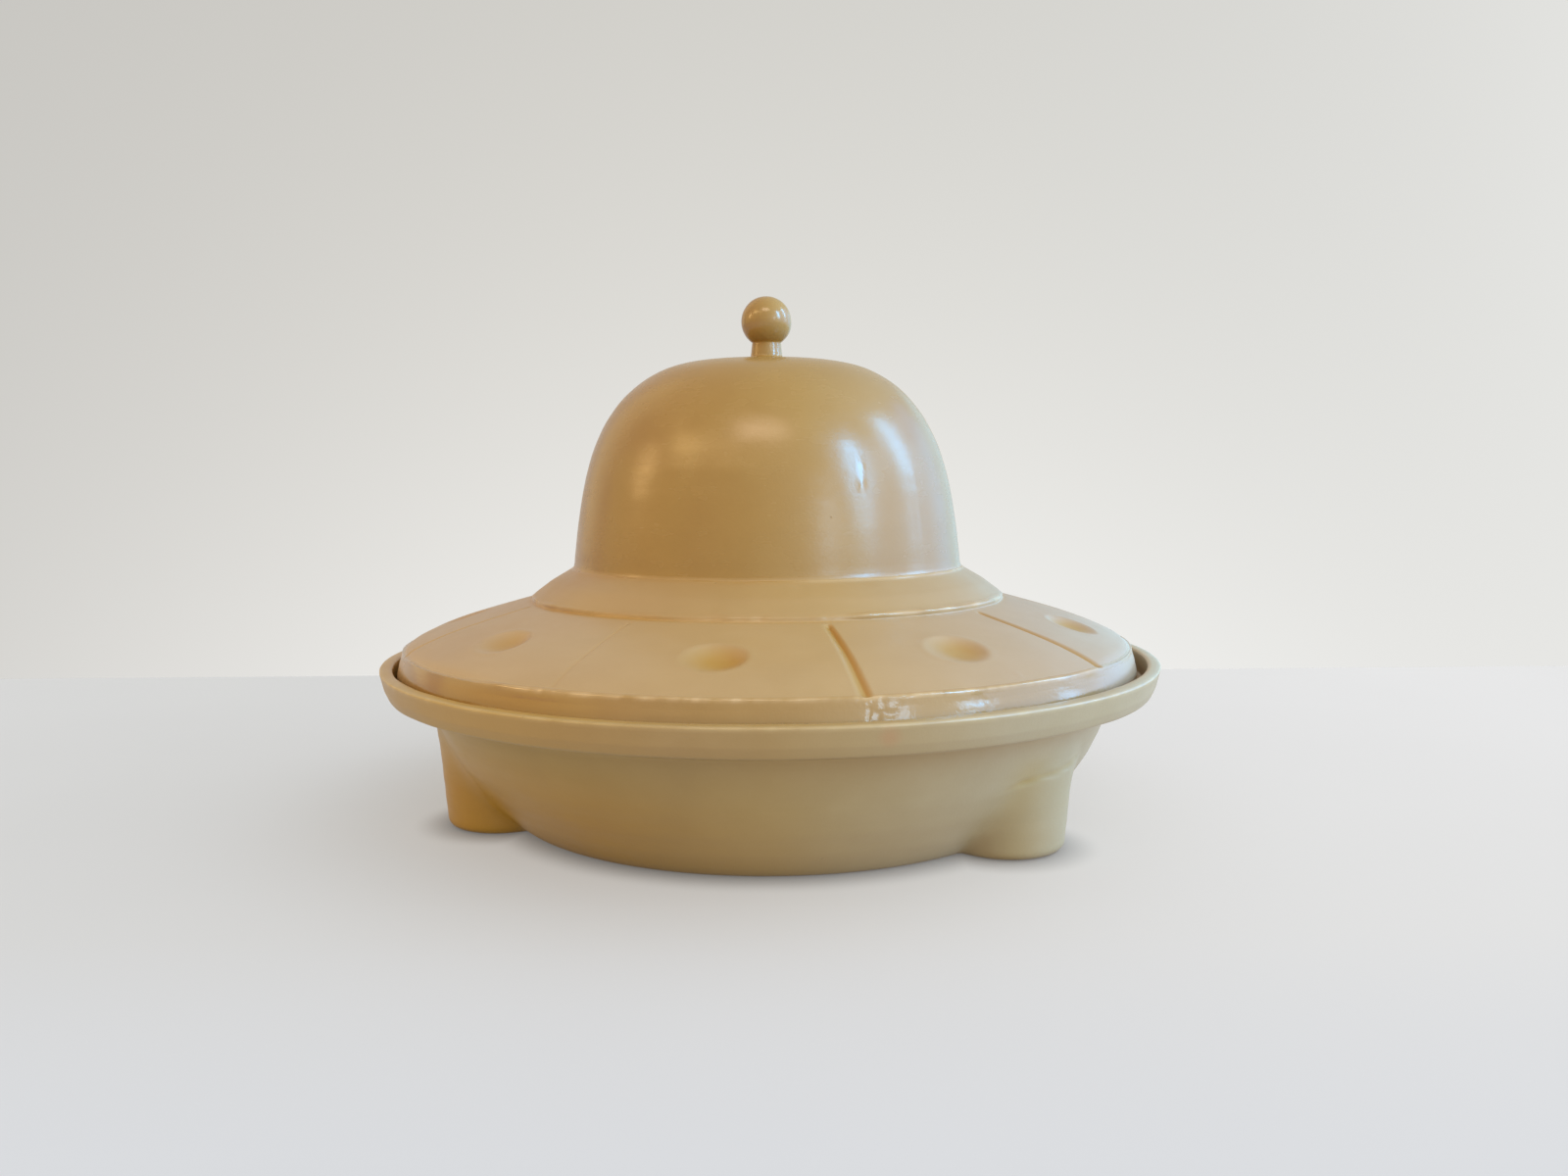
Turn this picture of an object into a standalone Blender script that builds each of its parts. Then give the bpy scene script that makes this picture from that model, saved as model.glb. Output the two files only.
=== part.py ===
"""Fired-clay tagine: a shallow dish on three blended feet, and a broad-brimmed
domed lid with a ball knob.

Metres, +Z up. The origin is on the table, under the centre of the dish. The
front of the object looks along -Y. Azimuths are in degrees from the front,
positive towards +X.
"""

import math

import bmesh
import bpy
import numpy as np
from mathutils import Vector

MM = 0.001

# --- dish: overall ----------------------------------------------------------
RIM_RADIUS = 160.0  # outermost radius of the rim
RIM_TOP = 63.4  # highest point of the lip
RIM_WIDEST = 61.4  # height of the outermost radius
LIP_THICKNESS = 5.6  # the lip's crest is midway, and its outer half slants down
BASE_RADIUS = 108.5  # radius of the flat underside
WALL_REACH = 32.5  # how far the bowl wall flares beyond the base radius
WALL_FLARE_HEIGHT = 58.0  # height at which the flare would stand upright
WALL_TOP = 47.6  # where the bowl wall turns out into the rim band
BAND_EDGE_RADIUS = 157.4  # lower outer edge of the rim band
BAND_EDGE_HEIGHT = 54.6
WALL_THICKNESS = 6.8
FLOOR_THICKNESS = 7.5
FLOOR_RADIUS = 88.0  # flat inside floor
LEDGE_HEIGHT = 55.4  # shelf inside the rim that carries the lid
LEDGE_INNER = 142.0
LEDGE_OUTER = 153.9

# --- dish: feet -------------------------------------------------------------
FOOT_AZIMUTHS = (50.2, 168.0, -72.1)
FOOT_CENTRE = 112.8  # distance of each foot's own axis from the dish axis
FOOT_RADIUS = 22.3  # at the table
FOOT_TAPER = 0.08  # growth of that radius with height
FOOT_EDGE = 3.1  # rounding of the lower edge
FOOT_BLEND = 3.5  # width of the soft joint between foot and bowl

# --- lid --------------------------------------------------------------------
LID_SHIFT = (-1.3, 0.0)  # the lid sits this far from the dish axis, in its play
LID_BOTTOM = 55.7
BRIM_INNER = 98.4  # brim starts here, under the collar's lower edge
BRIM_INNER_HEIGHT = 87.65
BRIM_OUTER = 149.8  # sharp upper edge of the lid band
BRIM_SLOPE = 0.27
BRIM_CURL = 3.95  # extra drop of the brim at its outer edge
BAND_FLARE = 2.2  # the lid band leans out by this much down to its foot
LID_SEAT_INNER = 144.6
COLLAR_TOP_RADIUS = 82.0
COLLAR_TOP_HEIGHT = 100.2
COLLAR_FOOT_RADIUS = 98.3
COLLAR_FOOT_HEIGHT = 89.1
CROWN_HEIGHT = 186.0  # flat seat for the knob at the top of the dome
CROWN_RADIUS = 9.6
# radius and height of the dome's outside, from its foot to its shoulder
DOME_OUTSIDE = (
    (81.2, 100.6),
    (79.4, 117.5),
    (76.6, 134.0),
    (71.8, 150.0),
    (63.0, 166.0),
    (50.0, 178.0),
    (37.5, 183.2),
    (24.0, 185.4),
)
DOME_THICKNESS = 6.0

# --- lid decoration: panel lines and thumb dimples ---------------------------
PANELS = 9
GROOVE_AZIMUTH = 12.0
GROOVE_WIDTH = 3.6
GROOVE_DEPTH = 1.2
GROOVE_FROM = 100.6
GROOVE_TO = 148.6
DIMPLE_RING = 126.8  # radius of the ring that the dimples stand on
DIMPLE_TANGENTIAL = 25.0
DIMPLE_RADIAL = 20.5
DIMPLE_DEPTH = 2.1

# --- knob -------------------------------------------------------------------
KNOB_BALL_RADIUS = 10.5
KNOB_BALL_HEIGHT = 201.8
KNOB_NECK_RADIUS = 6.35
KNOB_FOOT_RADIUS = 7.6
KNOB_FOOT_HEIGHT = 3.4
SEAT_GAP = 0.3

# --- mesh fineness ----------------------------------------------------------
DISH_STEPS = 84
LID_STEPS = 72
KNOB_STEPS = 20


def clear_scene():
    for obj in list(bpy.data.objects):
        bpy.data.objects.remove(obj, do_unlink=True)


def clay(name, colour, roughness):
    """One fired, lightly glazed clay."""
    material = bpy.data.materials.new(name)
    material.use_nodes = True
    shader = material.node_tree.nodes["Principled BSDF"]
    shader.inputs["Base Color"].default_value = (*colour, 1.0)
    shader.inputs["Roughness"].default_value = roughness
    shader.inputs["Metallic"].default_value = 0.0
    material.diffuse_color = (*colour, 1.0)
    return material


def arc(cx, cz, radius, start, end, count):
    """Points on a circle in the profile plane, angles in degrees."""
    return [
        (
            cx + radius * math.cos(math.radians(start + (end - start) * i / count)),
            cz + radius * math.sin(math.radians(start + (end - start) * i / count)),
        )
        for i in range(count + 1)
    ]


def offset_inwards(points, distance):
    """The open profile moved to the left of its direction of travel."""
    moved = []
    for i, (r, z) in enumerate(points):
        before = points[max(i - 1, 0)]
        after = points[min(i + 1, len(points) - 1)]
        dr, dz = after[0] - before[0], after[1] - before[1]
        length = math.hypot(dr, dz)
        moved.append((r - dz / length * distance, z + dr / length * distance))
    return moved


def face_outwards(bm):
    bmesh.ops.recalc_face_normals(bm, faces=bm.faces)
    if bm.calc_volume(signed=True) < 0.0:
        bmesh.ops.reverse_faces(bm, faces=bm.faces)


def turned(name, profile, steps, material):
    """A solid of revolution from a profile whose two ends lie on the axis."""
    bm = bmesh.new()
    verts = [bm.verts.new((r * MM, 0.0, z * MM)) for r, z in profile]
    edges = [bm.edges.new(pair) for pair in zip(verts, verts[1:])]
    bmesh.ops.spin(
        bm,
        geom=verts + edges,
        cent=(0.0, 0.0, 0.0),
        axis=(0.0, 0.0, 1.0),
        dvec=(0.0, 0.0, 0.0),
        angle=2.0 * math.pi,
        steps=steps,
        use_merge=True,
    )
    bmesh.ops.remove_doubles(bm, verts=bm.verts, dist=1e-6)
    face_outwards(bm)
    mesh = bpy.data.meshes.new(name)
    bm.to_mesh(mesh)
    bm.free()
    mesh.materials.append(material)
    obj = bpy.data.objects.new(name, mesh)
    bpy.context.scene.collection.objects.link(obj)
    return obj


def smooth(obj, angle=35.0):
    obj.data.shade_smooth()
    obj.data.set_sharp_from_angle(angle=math.radians(angle))


# --- dish -------------------------------------------------------------------


def bowl_radius(z):
    """Outside of the bowl: it leaves the table at about 45 degrees and turns up."""
    return BASE_RADIUS + WALL_REACH * (1.0 - (1.0 - z / WALL_FLARE_HEIGHT) ** 2)


def smooth_min(a, b, width):
    share = np.maximum(width - abs(a - b), 0.0) / width
    return min(a, b) - share * share * width / 4.0


def footed_radius(azimuth, z):
    """Radius of the bowl's outside with the feet grown out of it."""
    bowl = bowl_radius(z)
    drop = max(FOOT_EDGE - z, 0.0)
    inset = FOOT_EDGE - math.sqrt(FOOT_EDGE**2 - drop**2)
    foot = FOOT_RADIUS + FOOT_TAPER * z - inset
    blend = FOOT_BLEND * min(1.0, (WALL_TOP + 4.0 - z) / 14.0)
    nearest = min(
        abs((azimuth - middle + 180.0) % 360.0 - 180.0) for middle in FOOT_AZIMUTHS
    )
    across = math.radians(nearest)
    low, high = bowl - 4.0, bowl + 60.0
    for _ in range(40):
        r = (low + high) / 2.0
        reach = math.hypot(
            r * math.cos(across) - FOOT_CENTRE, r * math.sin(across)
        )
        if smooth_min(r - bowl, reach - foot, blend) < 0.0:
            low = r
        else:
            high = r
    return (low + high) / 2.0


def gathered_azimuths(steps):
    """Azimuths of the columns, closer together along the flanks of the feet."""
    fine = np.linspace(-180.0, 180.0, 3601)
    density = np.ones_like(fine)
    for middle in FOOT_AZIMUTHS:
        away = np.abs((fine - middle + 180.0) % 360.0 - 180.0)
        density += 2.2 * np.exp(-(((away - 11.5) / 4.5) ** 2))
    total = np.concatenate([[0.0], np.cumsum((density[1:] + density[:-1]) / 2.0)])
    wanted = np.arange(steps) * total[-1] / steps
    return np.interp(wanted, total, fine)


def dish_rim():
    """Outside of the rim band, over the lip and down to the ledge."""
    lip = LIP_THICKNESS / 2.0
    outside = [
        (BAND_EDGE_RADIUS - 11.0, BAND_EDGE_HEIGHT - 3.9),
        (BAND_EDGE_RADIUS - 5.0, BAND_EDGE_HEIGHT - 2.4),
        (BAND_EDGE_RADIUS - 1.2, BAND_EDGE_HEIGHT - 1.1),
        (BAND_EDGE_RADIUS + 0.6, BAND_EDGE_HEIGHT + 0.9),
        (RIM_RADIUS - 0.9, RIM_WIDEST - 3.0),
    ]
    over = [
        (RIM_RADIUS, RIM_WIDEST + 0.2),
        (RIM_RADIUS - 0.8, RIM_WIDEST + 0.9),
        (RIM_RADIUS - lip, RIM_TOP),
        (RIM_RADIUS - lip - 1.6, RIM_TOP - 0.3),
        (RIM_RADIUS - LIP_THICKNESS, RIM_TOP - 1.4),
    ]
    inside = [
        (LEDGE_OUTER + 0.2, LEDGE_HEIGHT + 3.4),
        (LEDGE_OUTER - 0.2, LEDGE_HEIGHT + 1.2),
        (LEDGE_OUTER - 1.2, LEDGE_HEIGHT),
        (LEDGE_INNER + 1.6, LEDGE_HEIGHT),
        (LEDGE_INNER - 0.2, LEDGE_HEIGHT - 0.9),
    ]
    return outside + over + inside


def dish_inside():
    """Inside of the bowl, from under the ledge to the middle of the floor."""
    heights = (50.0, 44.0, 36.5, 29.0, 21.5)
    wall = [(bowl_radius(z) - WALL_THICKNESS, z) for z in heights]
    foot_r, foot_z = wall[-1]
    turn = [
        (FLOOR_RADIUS + (foot_r - FLOOR_RADIUS) * share, FLOOR_THICKNESS
         + (foot_z - FLOOR_THICKNESS) * (share**2.2))
        for share in (0.72, 0.46, 0.22, 0.0)
    ]
    return wall + turn + [(45.0, FLOOR_THICKNESS), (0.0, FLOOR_THICKNESS)]


def make_dish(material):
    heights = (0.0, 0.5, 1.8, 3.8, 8.0, 14.0, 21.0, 28.0, 35.0, 42.0, WALL_TOP)
    columns = gathered_azimuths(DISH_STEPS)
    rim, inside = dish_rim(), dish_inside()
    under = FLOOR_RADIUS  # ring on the flat underside
    rings = [[(under, 0.0)] * DISH_STEPS]
    for z in heights:
        rings.append([(footed_radius(azimuth, z), z) for azimuth in columns])
    rings += [[point] * DISH_STEPS for point in rim + inside[:-1]]

    bm = bmesh.new()
    loops = []
    for ring in rings:
        verts = []
        for azimuth, (r, z) in zip(columns, ring):
            turn = math.radians(azimuth)
            verts.append(
                bm.verts.new((r * math.sin(turn) * MM, -r * math.cos(turn) * MM, z * MM))
            )
        loops.append(verts)
    for lower, upper in zip(loops, loops[1:]):
        for i in range(DISH_STEPS):
            j = (i + 1) % DISH_STEPS
            bm.faces.new((lower[i], lower[j], upper[j], upper[i]))
    for verts, z in ((loops[0], 0.0), (loops[-1], FLOOR_THICKNESS)):
        centre = bm.verts.new((0.0, 0.0, z * MM))
        for i in range(DISH_STEPS):
            bm.faces.new((verts[i], verts[(i + 1) % DISH_STEPS], centre))
    face_outwards(bm)
    mesh = bpy.data.meshes.new("dish")
    bm.to_mesh(mesh)
    bm.free()
    mesh.materials.append(material)
    obj = bpy.data.objects.new("dish", mesh)
    bpy.context.scene.collection.objects.link(obj)
    smooth(obj)
    return obj


# --- lid --------------------------------------------------------------------


def brim_height(r):
    share = max(r - BRIM_INNER, 0.0) / (BRIM_OUTER - BRIM_INNER)
    return BRIM_INNER_HEIGHT - BRIM_SLOPE * (r - BRIM_INNER) - BRIM_CURL * share**4


def lid_outside():
    brim = [
        (BRIM_INNER + (BRIM_OUTER - BRIM_INNER) * share,
         brim_height(BRIM_INNER + (BRIM_OUTER - BRIM_INNER) * share))
        for share in (0.0, 0.2, 0.4, 0.6, 0.78, 0.92, 1.0)
    ]
    edge_z = brim[-1][1]
    band = [
        (BRIM_OUTER + 0.6, edge_z - 0.7),
        (BRIM_OUTER + BAND_FLARE, LID_BOTTOM + 4.0),
        (BRIM_OUTER + BAND_FLARE, LID_BOTTOM + 1.2),
        (BRIM_OUTER + BAND_FLARE - 1.1, LID_BOTTOM),
    ]
    collar = [
        (COLLAR_TOP_RADIUS, COLLAR_TOP_HEIGHT),
        ((COLLAR_TOP_RADIUS + COLLAR_FOOT_RADIUS) / 2.0,
         (COLLAR_TOP_HEIGHT + COLLAR_FOOT_HEIGHT) / 2.0 + 0.4),
        (COLLAR_FOOT_RADIUS, COLLAR_FOOT_HEIGHT),
    ]
    crown = [(0.0, CROWN_HEIGHT), (CROWN_RADIUS, CROWN_HEIGHT)]
    return crown + list(reversed(DOME_OUTSIDE)) + collar + brim + band


def lid_inside():
    """From the seat ring up under the brim, into the dome and to its crown."""
    seat = [
        (LID_SEAT_INNER + 1.0, LID_BOTTOM),
        (LID_SEAT_INNER, LID_BOTTOM + 1.0),
        (LID_SEAT_INNER - 0.6, LID_BOTTOM + 7.0),
    ]
    under = [
        (r, brim_height(r) - DOME_THICKNESS)
        for r in (139.5, 127.0, 106.0)
    ]
    throat = [
        (92.0, COLLAR_FOOT_HEIGHT - 4.4),
        (81.0, COLLAR_TOP_HEIGHT - 8.4),
    ]
    dome = offset_inwards(list(DOME_OUTSIDE), DOME_THICKNESS)
    dome = [point for point in dome if point[0] > 20.0]
    return seat + under + throat + dome + [(0.0, CROWN_HEIGHT - DOME_THICKNESS - 0.4)]


def brim_frame(r):
    """Unit vectors down the brim and out of it, in the profile plane."""
    slope = (brim_height(r + 0.5) - brim_height(r - 0.5)) / 1.0
    length = math.hypot(1.0, slope)
    return (1.0 / length, slope / length), (-slope / length, 1.0 / length)


def dimple_cutter(azimuth):
    """A flattened ball whose lower cap sinks into the brim."""
    bm = bmesh.new()
    bmesh.ops.create_uvsphere(bm, u_segments=16, v_segments=20, radius=1.0)
    mesh = bpy.data.meshes.new("dimple_cutter")
    down, out = brim_frame(DIMPLE_RING)
    lift = 9.0  # height of the ball's centre over the brim
    depth = lift + DIMPLE_DEPTH
    share = math.sqrt(1.0 - (lift / depth) ** 2)  # radius of the cap at the brim
    half_t = DIMPLE_TANGENTIAL / 2.0 / share
    half_r = DIMPLE_RADIAL / 2.0 / share
    turn = math.radians(azimuth)
    radial = Vector((math.sin(turn), -math.cos(turn), 0.0))
    across = Vector((math.cos(turn), math.sin(turn), 0.0))
    up = Vector((0.0, 0.0, 1.0))
    along = radial * down[0] + up * down[1]
    normal = radial * out[0] + up * out[1]
    centre = radial * DIMPLE_RING + up * brim_height(DIMPLE_RING) + normal * lift
    for vert in bm.verts:
        x, y, z = vert.co
        vert.co = (centre + along * (x * half_r) + across * (y * half_t)
                   + normal * (z * depth)) * MM
    face_outwards(bm)
    bm.to_mesh(mesh)
    bm.free()
    return bpy.data.objects.new("dimple_cutter", mesh)


def groove_cutter(azimuth):
    """A wedge that follows the brim from the collar to the outer edge."""
    turn = math.radians(azimuth)
    radial = Vector((math.sin(turn), -math.cos(turn), 0.0))
    across = Vector((math.cos(turn), math.sin(turn), 0.0))
    up = Vector((0.0, 0.0, 1.0))
    rise = 2.0
    half = GROOVE_WIDTH / 2.0 * (GROOVE_DEPTH + rise) / GROOVE_DEPTH
    bm = bmesh.new()
    rings = []
    count = 8
    for i in range(count + 1):
        r = GROOVE_FROM + (GROOVE_TO - GROOVE_FROM) * i / count
        _, out = brim_frame(r)
        normal = radial * out[0] + up * out[1]
        base = radial * r + up * brim_height(r)
        rings.append([
            bm.verts.new((base - normal * GROOVE_DEPTH) * MM),
            bm.verts.new((base + normal * rise + across * half) * MM),
            bm.verts.new((base + normal * rise - across * half) * MM),
        ])
    for first, second in zip(rings, rings[1:]):
        for k in range(3):
            m = (k + 1) % 3
            bm.faces.new((first[k], first[m], second[m], second[k]))
    bm.faces.new(rings[0])
    bm.faces.new(rings[-1])
    face_outwards(bm)
    mesh = bpy.data.meshes.new("groove_cutter")
    bm.to_mesh(mesh)
    bm.free()
    return bpy.data.objects.new("groove_cutter", mesh)


def make_lid(material):
    lid = turned("lid", lid_outside() + lid_inside(), LID_STEPS, material)
    cutters = bpy.data.collections.new("brim_cutters")
    bpy.context.scene.collection.children.link(cutters)
    for i in range(PANELS):
        azimuth = GROOVE_AZIMUTH + 360.0 * i / PANELS
        for cutter in (groove_cutter(azimuth), dimple_cutter(azimuth + 180.0 / PANELS)):
            cutters.objects.link(cutter)
            cutter.hide_render = True
            cutter.display_type = "WIRE"
            cutter.parent = lid
    cut = lid.modifiers.new("brim marks", "BOOLEAN")
    cut.operation = "DIFFERENCE"
    cut.operand_type = "COLLECTION"
    cut.collection = cutters
    cut.solver = "EXACT"
    smooth(lid)
    lid.location = (LID_SHIFT[0] * MM, LID_SHIFT[1] * MM, 0.0)
    return lid


# --- knob -------------------------------------------------------------------


def knob_profile():
    """Ball on a short neck that spreads to a foot on the dome's crown."""
    base = CROWN_HEIGHT + SEAT_GAP
    join = -math.degrees(math.acos(KNOB_NECK_RADIUS / KNOB_BALL_RADIUS))
    ball = arc(0.0, KNOB_BALL_HEIGHT, KNOB_BALL_RADIUS, 90.0, join, 9)
    ball[0] = (0.0, ball[0][1])
    spread = KNOB_FOOT_RADIUS - KNOB_NECK_RADIUS
    foot = [
        (KNOB_NECK_RADIUS + spread * (1.0 - share) ** 2, base + KNOB_FOOT_HEIGHT * share)
        for share in (1.0, 0.6, 0.3, 0.0)
    ]
    return ball + foot + [(0.0, base)]


def make_knob(material, lid):
    knob = turned("lid_knob", knob_profile(), KNOB_STEPS, material)
    smooth(knob)
    knob.parent = lid
    return knob


def main():
    clear_scene()
    tan_dish = clay("clay_dish", (0.56, 0.40, 0.23), 0.42)
    tan_lid = clay("clay_lid", (0.56, 0.40, 0.24), 0.38)
    tan_knob = clay("clay_knob", (0.52, 0.36, 0.20), 0.34)
    make_dish(tan_dish)
    lid = make_lid(tan_lid)
    make_knob(tan_knob, lid)


main()
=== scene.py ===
import math

import bpy
import numpy as np
from mathutils import Matrix, Vector


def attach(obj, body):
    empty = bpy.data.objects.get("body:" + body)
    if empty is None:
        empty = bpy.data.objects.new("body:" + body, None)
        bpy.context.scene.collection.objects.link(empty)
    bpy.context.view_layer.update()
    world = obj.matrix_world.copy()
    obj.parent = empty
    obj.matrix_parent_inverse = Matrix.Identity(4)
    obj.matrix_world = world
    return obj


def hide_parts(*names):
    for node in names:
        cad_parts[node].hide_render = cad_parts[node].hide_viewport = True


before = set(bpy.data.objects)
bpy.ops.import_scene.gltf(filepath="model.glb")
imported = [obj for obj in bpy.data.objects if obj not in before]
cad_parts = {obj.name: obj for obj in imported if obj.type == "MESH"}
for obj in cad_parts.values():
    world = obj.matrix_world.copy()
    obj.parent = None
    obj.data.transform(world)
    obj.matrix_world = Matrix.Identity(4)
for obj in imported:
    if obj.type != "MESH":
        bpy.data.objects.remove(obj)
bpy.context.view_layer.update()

# Lengths below are in millimetres and become metres when a mesh is made.
# Azimuths are in degrees from the front (-Y), positive towards +X.
MM = 0.001

# --- dish ---------------------------------------------------------------------
BASE_RADIUS = 108.5
WALL_REACH = 32.5
WALL_FLARE_HEIGHT = 58.0
WALL_TOP = 47.2
WALL_THICKNESS = 6.8
FLOOR_THICKNESS = 7.5
FLOOR_RADIUS = 88.0
LEDGE_HEIGHT = 55.4
RIM_RADIUS = 160.0
RIM_TOP = 63.4
FOOT_AZIMUTHS = (50.2, 168.0, -72.1)
FOOT_CENTRE = 112.8
FOOT_RADIUS = 22.3
FOOT_TAPER = 0.08
FOOT_EDGE = 3.1
FOOT_BLEND = 3.5

# --- lid ----------------------------------------------------------------------
LID_SHIFT = -1.3
LID_BOTTOM = 55.7
BRIM_INNER = 98.4
BRIM_INNER_HEIGHT = 87.65
BRIM_OUTER = 149.8
BRIM_SLOPE = 0.27
BRIM_CURL = 3.95
CROWN_HEIGHT = 186.0
DOME = (
    (81.25, 101.2),
    (80.2, 111.0),
    (78.4, 124.0),
    (75.6, 138.0),
    (71.2, 151.5),
    (64.4, 164.0),
    (54.6, 174.6),
    (41.0, 182.3),
    (24.0, 185.5),
    (9.6, 186.0),
)
PANELS = 9
DIMPLE_RING = 126.8

# --- knob ---------------------------------------------------------------------
BALL_RADIUS = 10.5
BALL_HEIGHT = 201.8
NECK_RADIUS = 6.35
KNOB_BASE = 186.3


# --- noise --------------------------------------------------------------------


def lattice(i, j, k, seed):
    """A repeatable value in -1..1 for each whole-number point."""
    n = (i * 73856093) ^ (j * 19349663) ^ (k * 83492791) ^ (seed * 40503)
    n = n & 0xFFFFFFFF
    n = ((n ^ (n >> 15)) * 739982445) & 0xFFFFFFFF
    n = ((n ^ (n >> 12)) * 695872825) & 0xFFFFFFFF
    n = n ^ (n >> 15)
    return (n & 0xFFFF) / 32767.5 - 1.0


def noise(points, size, seed=1):
    """Smooth noise at points of shape (..., 3); size is one length or three."""
    q = points / np.asarray(size, float)
    cell = np.floor(q).astype(np.int64)
    f = q - cell
    f = f * f * f * (f * (f * 6.0 - 15.0) + 10.0)
    i, j, k = cell[..., 0], cell[..., 1], cell[..., 2]
    u, v, w = f[..., 0], f[..., 1], f[..., 2]
    total = 0.0
    for a in (0, 1):
        for b in (0, 1):
            for c in (0, 1):
                share = (u if a else 1 - u) * (v if b else 1 - v) * (w if c else 1 - w)
                total = total + share * lattice(i + a, j + b, k + c, seed)
    return total


def step(x, low, high):
    """Smooth rise from 0 at low to 1 at high."""
    t = np.clip((x - low) / (high - low), 0.0, 1.0)
    return t * t * (3.0 - 2.0 * t)


def bump(x, width):
    return np.exp(-((x / width) ** 2))


def away(azimuth, middle):
    """Signed degrees from middle, in -180..180."""
    return (azimuth - middle + 180.0) % 360.0 - 180.0


# --- profiles -----------------------------------------------------------------


def spline(points, spacing):
    """Natural cubic curve through the points, sampled about every spacing."""
    p = np.array(points, float)
    t = np.concatenate([[0.0], np.cumsum(np.hypot(*np.diff(p, axis=0).T))])
    n, h = len(p), np.diff(t)
    a = np.eye(n)
    b = np.zeros((n, 2))
    for i in range(1, n - 1):
        a[i, i - 1], a[i, i], a[i, i + 1] = h[i - 1], 2 * (h[i - 1] + h[i]), h[i]
        b[i] = 6 * ((p[i + 1] - p[i]) / h[i] - (p[i] - p[i - 1]) / h[i - 1])
    m = np.linalg.solve(a, b)
    s = np.linspace(0.0, t[-1], max(2, int(round(t[-1] / spacing)) + 1))
    k = np.clip(np.searchsorted(t, s, side="right") - 1, 0, n - 2)
    x0, x1, hk = (t[k + 1] - s)[:, None], (s - t[k])[:, None], h[k][:, None]
    return (
        m[k] * x0**3 / (6 * hk)
        + m[k + 1] * x1**3 / (6 * hk)
        + (p[k] / hk - m[k] * hk / 6) * x0
        + (p[k + 1] / hk - m[k + 1] * hk / 6) * x1
    )


def rounded(points, spacing):
    """Polyline of (r, z, corner radius) with its corners rounded, filled at spacing."""
    p = np.array([q[:2] for q in points], float)
    out = [p[0]]
    for i in range(1, len(p) - 1):
        radius = points[i][2]
        a, b = p[i - 1] - p[i], p[i + 1] - p[i]
        la, lb = np.hypot(*a), np.hypot(*b)
        a, b = a / la, b / lb
        inner = math.acos(max(-1.0, min(1.0, float(a @ b))))
        if radius <= 0.0 or inner > 3.1:
            out.append(p[i])
            continue
        reach = min(radius / math.tan(inner / 2), 0.49 * la, 0.49 * lb)
        radius = reach * math.tan(inner / 2)
        middle = p[i] + (a + b) / np.hypot(*(a + b)) * (radius / math.sin(inner / 2))
        start = math.atan2(*(p[i] + a * reach - middle)[::-1])
        end = math.atan2(*(p[i] + b * reach - middle)[::-1])
        turn = (end - start + math.pi) % (2 * math.pi) - math.pi
        count = max(3, int(math.ceil(abs(turn) * radius / (spacing * 0.45))))
        for k in range(count + 1):
            g = start + turn * k / count
            out.append(middle + radius * np.array([math.cos(g), math.sin(g)]))
    out.append(p[-1])
    full = [out[0]]
    for q in out[1:]:
        gap = np.hypot(*(q - full[-1]))
        if gap < 1e-6:
            continue
        count = max(1, int(round(gap / spacing)))
        start = full[-1]
        full += [start + (q - start) * (k + 1) / count for k in range(count)]
    return np.array(full)


def gathered(count, extra):
    """count azimuths round the circle, closer together where extra is high."""
    fine = np.linspace(-180.0, 180.0, 14401)
    density = 1.0 + extra(fine)
    total = np.concatenate([[0.0], np.cumsum((density[1:] + density[:-1]) / 2.0)])
    return np.interp(np.arange(count) * total[-1] / count, total, fine)


def normals_of(profile):
    """Unit normals to the left of travel along the profile, smoothed at corners."""
    d = np.gradient(profile, axis=0)
    for _ in range(1):
        d[1:-1] = (d[:-2] + 2 * d[1:-1] + d[2:]) / 4
    d /= np.maximum(np.hypot(d[:, 0], d[:, 1]), 1e-9)[:, None]
    return np.stack([-d[:, 1], d[:, 0]], axis=1)


# --- meshes -------------------------------------------------------------------


def place(azimuth, r, z):
    """Points of shape (rows, columns, 3)."""
    turn = np.radians(azimuth)[None, :]
    r, z = np.broadcast_arrays(r, z)
    return np.stack([r * np.sin(turn), -r * np.cos(turn), z + 0.0 * turn], axis=-1)


def stitch(first, second):
    """Faces between two rings of vertex numbers, one a whole multiple of the other."""
    a, b = np.asarray(first), np.asarray(second)
    if len(a) == len(b):
        return np.stack([a, np.roll(a, -1), np.roll(b, -1), b], axis=1).tolist(), []
    flip = len(a) > len(b)
    coarse, fine = (b, a) if flip else (a, b)
    m, n = len(fine) // len(coarse), len(coarse)
    faces = []
    for i in range(n):
        c0, c1 = coarse[i], coarse[(i + 1) % n]
        f = [fine[(m * i + k) % len(fine)] for k in range(m + 1)]
        half = m // 2
        for k in range(m):
            faces.append((c0 if k < half else c1, f[k + 1], f[k]))
        faces.append((c0, c1, f[half]))
    if flip:
        faces = [face[::-1] for face in faces]
    return [], faces


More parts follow.
